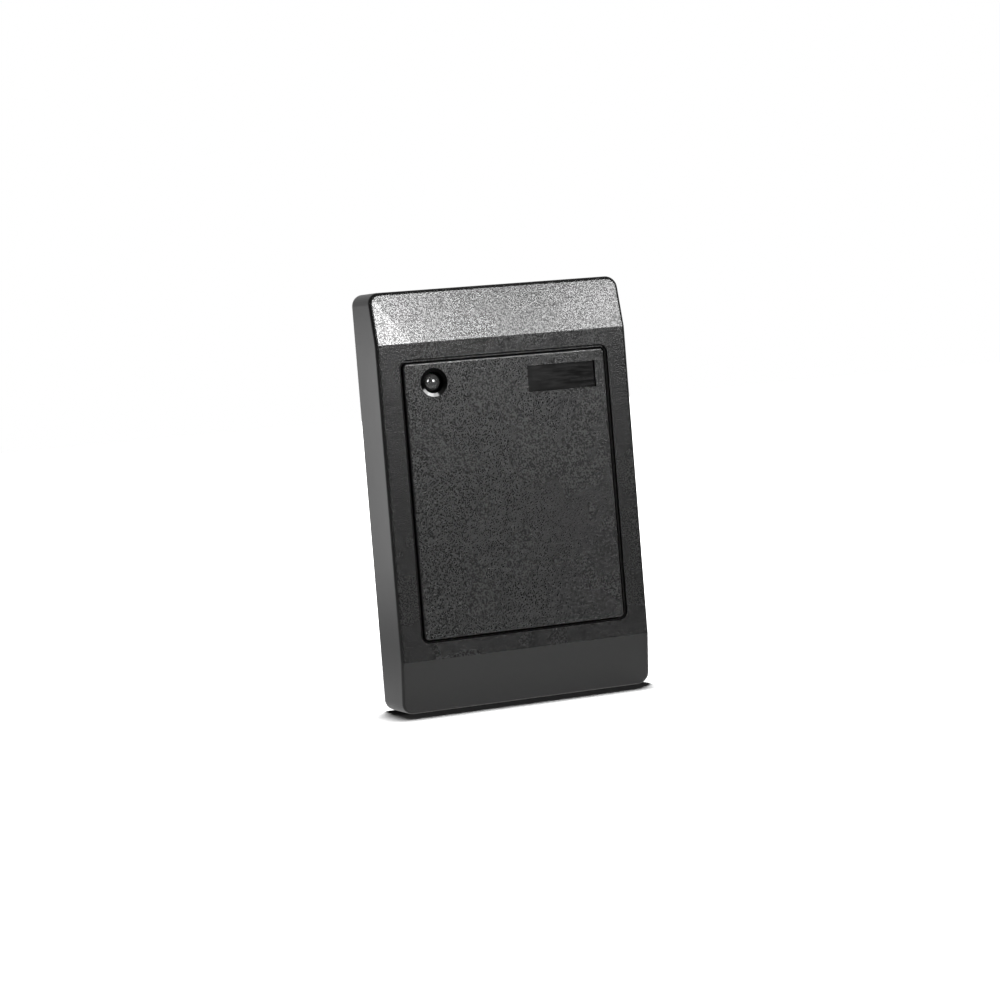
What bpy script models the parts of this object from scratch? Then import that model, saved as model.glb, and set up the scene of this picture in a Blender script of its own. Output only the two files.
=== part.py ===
"""Wall-mounted proximity card reader, built from the separate pieces it is assembled from.

Frame: +X to the right as seen from the front, +Z up, +Y into the wall. The origin is the
centre of the back face, where the reader meets the wall. A depth is a distance behind the
front plane, so depth 0 is the front face and depth DEPTH is the wall.
"""

import math

import bmesh
import bpy
from mathutils import Matrix, Vector

MM = 0.001

# Case, outside
WIDTH = 75.0 * MM
HEIGHT = 116.0 * MM
DEPTH = 16.5 * MM
CORNER_RADIUS = 3.2 * MM
FRONT_EDGE_RADIUS = 0.9 * MM
TOP_BEND_Z = 43.6 * MM
TOP_FALL = 3.5 * MM
BOTTOM_BEND_Z = -43.5 * MM
BOTTOM_FALL = 2.4 * MM
FOLD_X = 27.0 * MM
SIDE_FALL = 0.3 * MM

# Case, inside
WALL = 2.4 * MM
LIP = 1.2 * MM
HOLLOW_FRONT = 4.6 * MM
COVER_THICKNESS = 2.0 * MM
SEAL_THICKNESS = 0.8 * MM
FIT_GAP = 0.3 * MM
SNUG_GAP = 0.15 * MM
COVER_FRONT = DEPTH - COVER_THICKNESS
SHOULDER = COVER_FRONT - SEAL_THICKNESS - 2 * SNUG_GAP
SEAL_CORNER_EXTRA = 0.2 * MM
CORE_GAP = 1.8 * MM
CORE_FRONT = 2.4 * MM
CORE_Z = 36.0 * MM
HOLE_BACK = 8.0 * MM

# Front panel and the recess that takes it
PANEL_X = 30.15 * MM
PANEL_BOTTOM = -38.1 * MM
PANEL_TOP = 37.95 * MM
PANEL_THICKNESS = 2.2 * MM
PANEL_CORNER = 1.2 * MM
PANEL_EDGE = 0.45 * MM
PANEL_EDGE_STEPS = 3
PANEL_GAP = 0.45 * MM
RECESS_DEPTH = 2.6 * MM
LEDGE_DEPTH = 0.8 * MM
LEDGE_WIDTH = 0.7 * MM
LEDGE_WIDTH_BELOW = 0.35 * MM
HOOK_X = 22.0 * MM
HOOK_Z = 20.0 * MM
HOOK_WIDTH = 5.0 * MM
HOOK_THICKNESS = 1.2 * MM
HOOK_ROOT = PANEL_THICKNESS - 0.5 * MM
HOOK_END = 6.6 * MM
BARB = 0.6 * MM
BARB_LENGTH = 1.4 * MM
NAMEPLATE_X = (6.5 * MM, 27.1 * MM)
NAMEPLATE_Z = (27.4 * MM, 34.7 * MM)
NAMEPLATE_POCKET = 0.75 * MM
NAMEPLATE_END_GAP = 0.45 * MM
NAMEPLATE_THICKNESS = 0.3 * MM

# Status light, a 5 mm domed lamp
LED_X = -21.5 * MM
LED_Z = 32.4 * MM
LED_RADIUS = 2.5 * MM
LED_FLANGE_RADIUS = 2.9 * MM
LED_FLANGE = 1.0 * MM
LED_LENGTH = 8.6 * MM
LED_TIP = 0.25 * MM
LED_DOME_STEPS = 8
LED_HOLE_RADIUS = 3.0 * MM
LED_MOUTH_RADIUS = 3.95 * MM
LED_MOUTH_DEPTH = 0.55 * MM
LED_LEG_PITCH = 2.0 * MM
LED_SPACER_RADIUS = 3.0 * MM
LED_SPACER_BORE = 0.5 * MM

# Circuit board and the coil round it
BOARD_X = 31.0 * MM
BOARD_Z = 45.0 * MM
BOARD_FRONT = 11.4 * MM
BOARD_THICKNESS = 1.6 * MM
BOARD_BACK = BOARD_FRONT + BOARD_THICKNESS
BOARD_CORNER = 1.5 * MM
BOARD_SCREW_HOLE = 1.3 * MM
LEAD_HOLE = 0.45 * MM
BOARD_NOTCH_X = 7.5 * MM
BOARD_NOTCH_Z = -42.5 * MM
CHIP_GAP = 0.1 * MM
CHIP_STANDOFF = 0.2 * MM
CHIP_EDGE = 0.12 * MM
SMALL_EDGE = 0.06 * MM
COIL_INNER_X = 25.6 * MM
COIL_INNER_Z = 36.6 * MM
COIL_WIDTH = 3.0 * MM
COIL_DEPTHS = (4.9 * MM, 7.9 * MM)
COIL_LEAD_RADIUS = 0.25 * MM
COIL_LEAD_DEPTH = 6.4 * MM
COIL_LEAD_STEPS = 8
COIL_CORNER = 5.5 * MM
COIL_WINDOW_CORNER = 2.5 * MM
COIL_STOP_HALF = (0.8 * MM, 2.0 * MM)
COIL_STOP_Z = 24.7 * MM
COIL_STOP_BACK = 8.2 * MM

# Electronics on the front of the board: x, z, then sizes
MICRO_PLACE = (-10.0 * MM, 8.0 * MM)
MICRO_BODY = (7.5 * MM, 11.6 * MM, 2.3 * MM)
MICRO_LEGS = 9
READER_PLACE = (9.0 * MM, 9.0 * MM)
READER_BODY = (3.9 * MM, 8.7 * MM, 1.5 * MM)
READER_LEGS = 7
CHIP_PITCH = 1.27 * MM
LEG_THICKNESS = 0.2 * MM
LEG_ROOT = 0.3 * MM
LEG_REACH = 0.6 * MM
CHIP_LEG_WIDTH = 0.42 * MM
DOT_INSET = 0.9 * MM
DOT_RADIUS = 0.35 * MM
DOT_DEPTH = 0.1 * MM
REGULATOR_PLACE = (-3.0 * MM, -17.0 * MM)
REGULATOR_BODY = (3.5 * MM, 6.5 * MM, 1.7 * MM)
REGULATOR_PITCH = 2.3 * MM
REGULATOR_LEG_WIDTHS = (0.7 * MM, 3.0 * MM)
TRANSISTOR_PLACES = [(-20.0 * MM, level * MM) for level in (2.0, 6.5, 11.0)]
TRANSISTOR_BODY = (1.4 * MM, 2.9 * MM, 1.0 * MM)
TRANSISTOR_PITCH = 1.9 * MM
TRANSISTOR_LEG_WIDTH = 0.4 * MM
CRYSTAL_PLACE = (-7.0 * MM, -7.5 * MM)
CRYSTAL_BODY = (11.4 * MM, 4.7 * MM, 3.5 * MM)
CRYSTAL_PITCH = 4.9 * MM
BUZZER_PLACE = (13.5 * MM, -11.0 * MM)
BUZZER_RADIUS = 6.0 * MM
BUZZER_HEIGHT = 5.5 * MM
BUZZER_PITCH = 6.5 * MM
BUZZER_HOLE = 1.0 * MM
BUZZER_HOLE_DEPTH = 1.2 * MM
BUZZER_EDGE = 0.5 * MM
ELECTROLYTIC_PLACES = [(-17.0 * MM, -15.5 * MM), (-17.6 * MM, -7.8 * MM)]
ELECTROLYTIC_RADIUS = 3.15 * MM
ELECTROLYTIC_HEIGHT = 4.4 * MM
ELECTROLYTIC_BASE = 0.9 * MM
ELECTROLYTIC_NECK = 0.3 * MM
TUNING_PLACE = (17.5 * MM, 3.5 * MM)
TUNING_BODY = (7.2 * MM, 2.5 * MM, 5.5 * MM)
DIODE_PLACE = (-12.0 * MM, -22.5 * MM)
DIODE_BODY = (4.3 * MM, 2.6 * MM, 2.1 * MM)
RESISTOR_BODY = (1.6 * MM, 0.8 * MM, 0.45 * MM)
RESISTOR_PLACES = [(1.0 * MM, level * MM) for level in (-1.0, 2.0, 5.0, 8.0)]
RESISTOR_PLACES += [(across * MM, -22.5 * MM) for across in (9.0, 12.0)]
CERAMIC_BODY = (2.0 * MM, 1.25 * MM, 0.9 * MM)
CERAMIC_PLACES = [(17.0 * MM, level * MM) for level in (9.0, 12.0)]
CERAMIC_PLACES += [(x, 18.0 * MM) for x in (MICRO_PLACE[0], READER_PLACE[0])]
HEADER_PLACE = (-15.5 * MM, -29.5 * MM)
HEADER_BODY = (17.9 * MM, 4.8 * MM, 5.6 * MM)
HEADER_WALL = 0.7 * MM
HEADER_PITCH = 2.0 * MM
HEADER_PINS = 8
HEADER_FLOOR = 1.2 * MM
PIN_HALF = 0.25 * MM
PIN_END = 0.5 * MM
SOLDER_RADII = (0.8 * MM, 0.35 * MM)
SOLDER_HEIGHT = 0.9 * MM
PAD_X = 21.5 * MM
PAD_Z = (-32.5 * MM, -30.0 * MM)

# Screws, bosses and the outlet for a cable
CASE_SCREW_X = 32.0 * MM
CASE_SCREW_Z = 50.0 * MM
CASE_BOSS_RADIUS = 3.5 * MM
CASE_PAD_RADIUS = 3.0 * MM
CASE_SHANK_RADIUS = 1.05 * MM
CASE_NECK_RADIUS = CASE_SHANK_RADIUS + 0.1 * MM
CASE_HEAD_RADIUS = 2.7 * MM
CASE_HEAD_DEPTHS = (DEPTH - 1.5 * MM, DEPTH - 0.25 * MM)
CASE_PILOT = (1.35 * MM, 6.0 * MM)
COVER_SCREW_HOLE = 1.8 * MM
COVER_SINK_RADII = (1.75 * MM, 3.35 * MM)
COVER_SINK_FRONT = DEPTH - 1.4 * MM
COVER_SINK_BACK = DEPTH + 0.2 * MM
SCREW_TIP = 7.0 * MM
SLOT_REACH = 0.6
SLOT_BLADE = 0.24
SLOT_DEPTH = 0.5 * MM
BOARD_SCREW_X = 27.0 * MM
BOARD_SCREW_Z = 42.2 * MM
BOARD_POST_RADIUS = 2.2 * MM
BOARD_SHANK_RADIUS = 0.75 * MM
BOARD_HEAD_RADIUS = 1.9 * MM
BOARD_HEAD_HEIGHT = 0.9 * MM
BOARD_PILOT = (1.0 * MM, 6.4 * MM)
WALL_SCREW_Z = 30.0 * MM
WALL_BORE_RADIUS = 2.2 * MM
COVER_BORE_RADIUS = WALL_BORE_RADIUS + 0.2 * MM
WALL_HEAD_RADIUS = 4.4 * MM
WALL_SEAT = 5.6 * MM
PILLAR_HEAD_WALL = 1.3 * MM
PILLAR_HEAD_BACK = 7.4 * MM
PILLAR_WALL = 1.8 * MM
PILLAR_FRONT = 6.6 * MM
BOARD_PILLAR_GAP = 0.4 * MM
OUTLET_Z = -49.0 * MM
OUTLET_BORE = 3.1 * MM
GROMMET_NECK = 4.2 * MM
GROMMET_FLANGE = 5.1 * MM
GROMMET_LIP = 0.8 * MM

ROUND_SIDES = 24
FINE_SIDES = 40
CAN_SIDES = 20
SCREW_SIDES = 16
SMALL_SIDES = 12
TINY_SIDES = 8
LEAD_HOLE_SIDES = 6
CORNER_STEPS = 8
FRONT_EDGE_STEPS = 4
FAR_BACK = DEPTH + 2 * MM
FAR_FRONT = -2 * MM
OVERLAP = MM  # how far a cutter runs past its cut, or a joined piece into its partner
POST_ROOT = 0.8 * MM  # how far posts and pads reach into the wall they stand on
PANEL_ORIGIN = (0.0, -DEPTH, 0.0)

BLACK_PLASTIC = ((0.030, 0.030, 0.032), 0.55, 0.0)
GLOSS_BLACK = ((0.010, 0.010, 0.011), 0.15, 0.0)
CHIP_EPOXY = ((0.015, 0.015, 0.016), 0.5, 0.0)
LAMP_EPOXY = ((0.55, 0.56, 0.55), 0.08, 0.0)
NATURAL_NYLON = ((0.75, 0.72, 0.62), 0.45, 0.0)
BLACK_RUBBER = ((0.018, 0.018, 0.018), 0.8, 0.0)
BOARD_GREEN = ((0.010, 0.120, 0.045), 0.35, 0.0)
ENAMELLED_COPPER = ((0.45, 0.13, 0.04), 0.3, 1.0)
TINNED_METAL = ((0.70, 0.70, 0.68), 0.3, 1.0)
ZINC_STEEL = ((0.62, 0.62, 0.60), 0.35, 1.0)
ALUMINIUM = ((0.80, 0.80, 0.81), 0.25, 1.0)
FILM_RED = ((0.35, 0.03, 0.02), 0.4, 0.0)
CERAMIC_TAN = ((0.40, 0.26, 0.14), 0.5, 0.0)


def at_depth(depth):
    """Y coordinate of the plane that lies `depth` behind the front plane."""
    return depth - DEPTH


def both(value):
    """The span from -value to +value."""
    return (-value, value)


def around(centre, half):
    """The span of half-width `half` about `centre`."""
    return (centre - half, centre + half)


def four_corners(x, z):
    """The four points (+-x, +-z)."""
    return [(side * x, level * z) for side in (-1, 1) for level in (-1, 1)]


def clear_scene():
    for item in list(bpy.data.objects):
        bpy.data.objects.remove(item, do_unlink=True)


def new_collection(name):
    group = bpy.data.collections.new(name)
    bpy.context.scene.collection.children.link(group)
    return group


def new_material(name, look):
    colour, roughness, metallic = look
    material = bpy.data.materials.new(name)
    material.use_nodes = True
    shader = material.node_tree.nodes["Principled BSDF"]
    shader.inputs["Base Color"].default_value = (*colour, 1.0)
    shader.inputs["Roughness"].default_value = roughness
    shader.inputs["Metallic"].default_value = metallic
    return material


def new_empty(name, location=(0.0, 0.0, 0.0)):
    empty = bpy.data.objects.new(name, None)
    empty.location = location
    empty.empty_display_size = 0.02
    parts.objects.link(empty)
    return empty


def mesh_object(name, form, group, origin):
    """Turn the bmesh into an object with its origin at `origin`."""
    bmesh.ops.translate(form, verts=form.verts, vec=-Vector(origin))
    mesh = bpy.data.meshes.new(name)
    form.to_mesh(mesh)
    form.free()
    made = bpy.data.objects.new(name, mesh)
    made.location = origin
    group.objects.link(made)
    return made


def new_part(name, form, look, origin=(0.0, 0.0, 0.0), smooth=True):
    """A named piece of the reader with its own material."""
    made = mesh_object(name, form, parts, origin)
    made.data.materials.append(new_material(name, look))
    if smooth:
        made.data.shade_smooth()
        made.data.set_sharp_from_angle(angle=math.radians(35))
    return made


def shape_with(target, name, form, operation):
    """Cut `form` out of the target, or join it on, with a Boolean modifier."""
    tool = mesh_object(name, form, cutters, (0.0, 0.0, 0.0))
    tool.hide_render = True
    tool.display_type = "WIRE"
    change = target.modifiers.new(name, "BOOLEAN")
    change.operation = operation
    change.object = tool


def cut(target, name, form):
    shape_with(target, name, form, "DIFFERENCE")


def join(target, name, form):
    shape_with(target, name, form, "UNION")


def add_block(form, x_span, depth_span, z_span, corner=0.0):
    """Add a box. A corner radius rounds its four edges that run along Y."""
    spans = (x_span, (at_depth(depth_span[0]), at_depth(depth_span[1])), z_span)
    size = [high - low for low, high in spans]
    centre = [(high + low) / 2 for low, high in spans]
    place = Matrix.Translation(centre) @ Matrix.Diagonal((*size, 1.0))
    made = bmesh.ops.create_cube(form, size=1.0, matrix=place)
    if corner > 0.0:
        upright = set()
        for vert in made["verts"]:
            for edge in vert.link_edges:
                run = edge.verts[1].co - edge.verts[0].co
                if abs(run.y) > max(abs(run.x), abs(run.z)):
                    upright.add(edge)
        bmesh.ops.bevel(form, geom=list(upright), offset=corner, offset_type="OFFSET",
                        segments=CORNER_STEPS, profile=0.5, affect="EDGES")


def add_drum(form, x, z, radius, depth_span, back_radius=None, sides=ROUND_SIDES):
    """Add a cylinder along Y, or a cone when the back radius differs."""
    front, back = depth_span
    turn = Matrix.Rotation(math.radians(-90), 4, "X")
    centre = Matrix.Translation((x, at_depth((front + back) / 2), z))
    bmesh.ops.create_cone(form, cap_ends=True, segments=sides, radius1=radius,
                          radius2=radius if back_radius is None else back_radius,
                          depth=back - front, matrix=centre @ turn)


def add_outline(form, corners, sweep):
    """Add a flat outline of 3D corners, swept along a vector."""
    face = form.faces.new([form.verts.new(corner) for corner in corners])
    swept = bmesh.ops.extrude_face_region(form, geom=[face])
    moved = [item for item in swept["geom"] if isinstance(item, bmesh.types.BMVert)]
    bmesh.ops.translate(form, verts=moved, vec=sweep)
    bmesh.ops.recalc_face_normals(form, faces=form.faces)


def add_strip(form, outline, z_span):
    """Add an outline of (x, depth) points, swept over a span of Z."""
    low, high = z_span
    corners = [(x, at_depth(depth), low) for x, depth in outline]
    add_outline(form, corners, (0.0, 0.0, high - low))


def turned_part(name, look, place, profile, ring=False, sides=ROUND_SIDES):
    """A piece turned about an axis along Y at (x, z) = place.

    The profile's (radius, depth) points run down its outer side from front to back. A ring's
    profile is a closed loop."""
    form = bmesh.new()
    points = [form.verts.new((radius, 0.0, -at_depth(depth))) for radius, depth in profile]
    ends = points[1:] + points[:1] if ring else points[1:]
    for start, end in zip(points, ends):
        form.edges.new((start, end))
    made = new_part(name, form, look, smooth=False)
    made.location = (place[0], 0.0, place[1])
    made.rotation_euler = (math.radians(90), 0.0, 0.0)
    turn = made.modifiers.new("turned", "SCREW")
    turn.axis = "Z"
    turn.angle = math.radians(360)
    turn.steps = sides
    turn.render_steps = sides
    turn.use_merge_vertices = True
    turn.merge_threshold = 0.00001
    turn.use_smooth_shade = True
    return made


def wire_part(name, look, route, radius):
    """A round wire along a list of points."""
    curve = bpy.data.curves.new(name, "CURVE")
    curve.dimensions = "3D"
    curve.bevel_depth = radius
    curve.bevel_resolution = 2
    curve.use_fill_caps = True
    curve.materials.append(new_material(name, look))
    spline = curve.splines.new("POLY")
    spline.points.add(len(route) - 1)
    for point, place in zip(spline.points, route):
        point.co = (*place, 1.0)
    parts.objects.link(bpy.data.objects.new(name, curve))


def numbered(name, places):
    """A node name for each place: name_1, name_2 and so on."""
    return [(f"{name}_{number}", place) for number, place in enumerate(places, 1)]


def front_fall(x, z):
    """How far the front surface lies behind the front plane at (x, z).

    The middle is flat. The sides fall away a little outside the folds, and the top and
    bottom slope back from their bends, with a triangle at each end of the slope."""
    across = max(0.0, (abs(x) - FOLD_X) / (WIDTH / 2 - FOLD_X))
    bends = ((TOP_BEND_Z, HEIGHT / 2, TOP_FALL), (BOTTOM_BEND_Z, -HEIGHT / 2, BOTTOM_FALL))
    for bend, edge, fall in bends:
        run = (z - bend) / (edge - bend)
        if run > 0.0:
            return max(fall * run, SIDE_FALL * across + (fall - SIDE_FALL) * run)
    return SIDE_FALL * across


def score_front(form, point, normal, corner=None):
    """Score a line, given in the XZ plane, across the front faces.

    A corner, (side, bend, edge), keeps the line to the block outside that fold and bend."""
    front = []
    for face in form.faces:
        middle = face.calc_center_median()
        inside = True
        if corner:
            side, bend, edge = corner
            inside = middle.x * side > FOLD_X and (middle.z - bend) * (edge - bend) > 0.0
        if inside and face.normal.y < -0.9:
            front.append(face)
    edges = {edge for face in front for edge in face.edges}
    verts = {vert for face in front for vert in face.verts}
    bmesh.ops.bisect_plane(form, geom=[*front, *edges, *verts], dist=1e-6,
                           plane_co=(point[0], 0.0, point[1]),
                           plane_no=(normal[0], 0.0, normal[1]))


def crease_front(form):
    """Score the front along its bends, its folds and the slopes' corner triangles."""
    score_front(form, (0.0, TOP_BEND_Z), (0.0, 1.0))
    score_front(form, (0.0, BOTTOM_BEND_Z), (0.0, 1.0))
    for side in (-1, 1):
        fold = side * FOLD_X
        out = side * WIDTH / 2 - fold
        score_front(form, (fold, 0.0), (1.0, 0.0))
        for bend, edge in ((TOP_BEND_Z, HEIGHT / 2), (BOTTOM_BEND_Z, -HEIGHT / 2)):
            score_front(form, (fold, bend), (edge - bend, -out), (side, bend, edge))


def outer_form():
    """The case's solid outer form, creased and rounded at the front."""
    form = bmesh.new()
    add_block(form, both(WIDTH / 2), (0.0, DEPTH), both(HEIGHT / 2), CORNER_RADIUS)
    form.normal_update()
    crease_front(form)
    for vert in form.verts:
        if vert.co.y < at_depth(DEPTH / 2):
            vert.co.y = at_depth(front_fall(vert.co.x, vert.co.z))
    form.normal_update()
    rim = []
    for edge in form.edges:
        leans = sorted(face.normal.y for face in edge.link_faces)
        if leans[0] < -0.9 and leans[1] > -0.1:
            rim.append(edge)
    bmesh.ops.bevel(form, geom=rim, offset=FRONT_EDGE_RADIUS, offset_type="OFFSET",
                    segments=FRONT_EDGE_STEPS, profile=0.5, affect="EDGES")
    return form


def recess_forms():
    """The shallow ledge and the deeper recess that the front panel drops into."""
    recess = bmesh.new()
    reach = PANEL_X + PANEL_GAP
    low = PANEL_BOTTOM - PANEL_GAP
    high = PANEL_TOP + PANEL_GAP
    add_block(recess, both(reach), (FAR_FRONT, RECESS_DEPTH), (low, high),
              PANEL_CORNER + PANEL_GAP)
    ledge = bmesh.new()
    add_block(ledge, both(reach + LEDGE_WIDTH), (FAR_FRONT, LEDGE_DEPTH),
              (low - LEDGE_WIDTH_BELOW, high + LEDGE_WIDTH),
              PANEL_CORNER + PANEL_GAP + LEDGE_WIDTH)
    return recess, ledge


def shell_posts():
    """Everything that stands up inside the front shell."""
    posts = bmesh.new()
    root = HOLLOW_FRONT - POST_ROOT
    for x, z in four_corners(CASE_SCREW_X, CASE_SCREW_Z):
        add_drum(posts, x, z, CASE_BOSS_RADIUS, (root, SHOULDER))
    for x, z in four_corners(BOARD_SCREW_X, BOARD_SCREW_Z):
        add_drum(posts, x, z, BOARD_POST_RADIUS, (root, BOARD_FRONT - FIT_GAP))
    half_x, half_z = COIL_STOP_HALF
    for x, z in four_corners(COIL_INNER_X - FIT_GAP - half_x, COIL_STOP_Z):
        add_block(posts, around(x, half_x), (root, COIL_STOP_BACK), around(z, half_z))
    return posts


def wall_pillars():
    """Two pillars that take the wall screws, wide enough in front for a sunk head."""
    wide = bmesh.new()
    slim = bmesh.new()
    for z in both(WALL_SCREW_Z):
        add_drum(wide, 0.0, z, WALL_HEAD_RADIUS + PILLAR_HEAD_WALL,
                 (HOLLOW_FRONT - POST_ROOT, PILLAR_HEAD_BACK))
        add_drum(slim, 0.0, z, WALL_BORE_RADIUS + PILLAR_WALL, (PILLAR_FRONT, COVER_FRONT - FIT_GAP))
    return wide, slim


def shell_cores():
    """Slots behind the side strips, which keep their plastic from being too thick."""
    cores = bmesh.new()
    inner = PANEL_X + PANEL_GAP + CORE_GAP
    outer = WIDTH / 2 - WALL
    for span in ((inner, outer), (-outer, -inner)):
        add_block(cores, span, (CORE_FRONT, HOLLOW_FRONT + OVERLAP), both(CORE_Z))
    return cores


def shell_holes():
    """Holes in the front shell: for screws, the status light and the panel's hooks."""
    holes = bmesh.new()
    pilots = ((four_corners(CASE_SCREW_X, CASE_SCREW_Z), CASE_PILOT),
              (four_corners(BOARD_SCREW_X, BOARD_SCREW_Z), BOARD_PILOT))
    for places, (radius, front) in pilots:
        for x, z in places:
            add_drum(holes, x, z, radius, (front, FAR_BACK), sides=SMALL_SIDES)
    add_drum(holes, LED_X, LED_Z, LED_HOLE_RADIUS, (0.0, HOLE_BACK))
    slot = HOOK_THICKNESS / 2 + BARB + FIT_GAP
    for x, z in four_corners(HOOK_X, HOOK_Z):
        add_block(holes, around(x, slot), (0.0, HOLE_BACK), around(z, HOOK_WIDTH / 2 + FIT_GAP))
    return holes


def wall_screw_holes():
    """The through bores for the wall screws, and the wider seats for their heads."""
    bores = bmesh.new()
    seats = bmesh.new()
    for z in both(WALL_SCREW_Z):
        add_drum(bores, 0.0, z, WALL_BORE_RADIUS, (0.0, FAR_BACK))
        add_drum(seats, 0.0, z, WALL_HEAD_RADIUS, (0.0, WALL_SEAT))
    return bores, seats


def make_front_shell():
    shell = new_part("front_shell", outer_form(), BLACK_PLASTIC)
    hollow = bmesh.new()
    add_block(hollow, both(WIDTH / 2 - WALL), (HOLLOW_FRONT, FAR_BACK),
              both(HEIGHT / 2 - WALL), CORNER_RADIUS - WALL / 2)
    cut(shell, "shell_hollow", hollow)
    rebate = bmesh.new()
    add_block(rebate, both(WIDTH / 2 - LIP), (SHOULDER, FAR_BACK),
              both(HEIGHT / 2 - LIP), CORNER_RADIUS - LIP)
    cut(shell, "shell_rebate", rebate)
    join(shell, "shell_posts", shell_posts())
    wide, slim = wall_pillars()
    join(shell, "shell_pillar_heads", wide)
    join(shell, "shell_pillars", slim)
    cut(shell, "shell_cores", shell_cores())
    recess, ledge = recess_forms()
    cut(shell, "shell_recess", recess)
    cut(shell, "shell_ledge", ledge)
    cut(shell, "shell_holes", shell_holes())
    bores, seats = wall_screw_holes()
    cut(shell, "shell_wall_bores", bores)
    cut(shell, "shell_wall_seats", seats)


def panel_hooks():
    """Four hooks on the back of the panel, each with an outward barb."""
    hooks = bmesh.new()
    half = HOOK_THICKNESS / 2
    for side in (-1, 1):
        outline = [(-half, HOOK_ROOT), (-half, HOOK_END), (half, HOOK_END),
                   (half + BARB, HOOK_END - BARB_LENGTH), (half, HOOK_END - BARB_LENGTH),
                   (half, HOOK_ROOT)]
        shape = [(side * (HOOK_X + offset), depth) for offset, depth in outline]
        for z in both(HOOK_Z):
            add_strip(hooks, shape, around(z, HOOK_WIDTH / 2))
    return hooks


def make_front_panel():
    form = bmesh.new()
    add_block(form, both(PANEL_X), (0.0, PANEL_THICKNESS), (PANEL_BOTTOM, PANEL_TOP),
              PANEL_CORNER)
    form.normal_update()
    face = min(form.faces, key=lambda item: item.normal.y)
    bmesh.ops.bevel(form, geom=list(face.edges), offset=PANEL_EDGE, offset_type="OFFSET",
                    segments=PANEL_EDGE_STEPS, profile=0.5, affect="EDGES")
    panel = new_part("front_panel", form, BLACK_PLASTIC, PANEL_ORIGIN)
    join(panel, "panel_hooks", panel_hooks())
    bore = bmesh.new()
    add_drum(bore, LED_X, LED_Z, LED_HOLE_RADIUS, (FAR_FRONT, PANEL_THICKNESS + OVERLAP),
             sides=FINE_SIDES)
    cut(panel, "panel_light_hole", bore)
    mouth = bmesh.new()
    add_drum(mouth, LED_X, LED_Z, 2 * LED_MOUTH_RADIUS - LED_HOLE_RADIUS, both(LED_MOUTH_DEPTH),
             LED_HOLE_RADIUS, FINE_SIDES)
    cut(panel, "panel_light_mouth", mouth)
    pocket = bmesh.new()
    add_block(pocket, NAMEPLATE_X, (FAR_FRONT, NAMEPLATE_POCKET), NAMEPLATE_Z)
    cut(panel, "panel_nameplate_pocket", pocket)


def make_nameplate():
    form = bmesh.new()
    back = NAMEPLATE_POCKET - CHIP_GAP
    add_block(form, (NAMEPLATE_X[0] + SNUG_GAP, NAMEPLATE_X[1] - NAMEPLATE_END_GAP),
              (back - NAMEPLATE_THICKNESS, back),
              (NAMEPLATE_Z[0] + SNUG_GAP, NAMEPLATE_Z[1] - SNUG_GAP))
    new_part("nameplate", form, GLOSS_BLACK, PANEL_ORIGIN)


def make_rear_cover():
    form = bmesh.new()
    inset = LIP + FIT_GAP
    add_block(form, both(WIDTH / 2 - inset), (COVER_FRONT, DEPTH), both(HEIGHT / 2 - inset),
              CORNER_RADIUS - inset)
    cover = new_part("rear_cover", form, BLACK_PLASTIC)
    pads = bmesh.new()
    holes = bmesh.new()
    sinks = bmesh.new()
    for x, z in four_corners(CASE_SCREW_X, CASE_SCREW_Z):
        add_drum(pads, x, z, CASE_PAD_RADIUS, (SHOULDER + FIT_GAP, COVER_FRONT + POST_ROOT),
                 sides=SCREW_SIDES)
        add_drum(holes, x, z, COVER_SCREW_HOLE, (SHOULDER - OVERLAP, DEPTH - OVERLAP), sides=SCREW_SIDES)
        add_drum(sinks, x, z, COVER_SINK_RADII[0], (COVER_SINK_FRONT, COVER_SINK_BACK),
                 COVER_SINK_RADII[1], SCREW_SIDES)
    for z in both(WALL_SCREW_Z):
        add_drum(holes, 0.0, z, COVER_BORE_RADIUS, (SHOULDER - OVERLAP, FAR_BACK),
                 sides=SCREW_SIDES)
    add_drum(holes, 0.0, OUTLET_Z, GROMMET_NECK + FIT_GAP, (SHOULDER - OVERLAP, FAR_BACK))
    add_drum(sinks, 0.0, OUTLET_Z, GROMMET_FLANGE + FIT_GAP,
             (DEPTH - GROMMET_LIP - SNUG_GAP, FAR_BACK))
    join(cover, "cover_pads", pads)
    cut(cover, "cover_holes", holes)
    cut(cover, "cover_sinks", sinks)


def make_rear_seal():
    form = bmesh.new()
    outer = LIP + SNUG_GAP
    inner = WALL - SNUG_GAP
    add_block(form, both(WIDTH / 2 - outer), (SHOULDER + SNUG_GAP, COVER_FRONT - SNUG_GAP),
              both(HEIGHT / 2 - outer), CORNER_RADIUS - outer)
    seal = new_part("rear_seal", form, BLACK_RUBBER)
    window = bmesh.new()
    add_block(window, both(WIDTH / 2 - inner), (SHOULDER - OVERLAP, FAR_BACK),
              both(HEIGHT / 2 - inner), CORNER_RADIUS - inner + SEAL_CORNER_EXTRA)
    cut(seal, "seal_window", window)


def make_cable_grommet():
    back = DEPTH - CHIP_GAP
    front = COVER_FRONT - FIT_GAP
    profile = [(OUTLET_BORE, front - GROMMET_LIP), (GROMMET_FLANGE, front - GROMMET_LIP),
               (GROMMET_FLANGE, front), (GROMMET_NECK, front),
               (GROMMET_NECK, back - GROMMET_LIP), (GROMMET_FLANGE, back - GROMMET_LIP),
               (GROMMET_FLANGE, back), (OUTLET_BORE, back)]
    turned_part("cable_grommet", BLACK_RUBBER, (0.0, OUTLET_Z), profile, ring=True)


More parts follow.
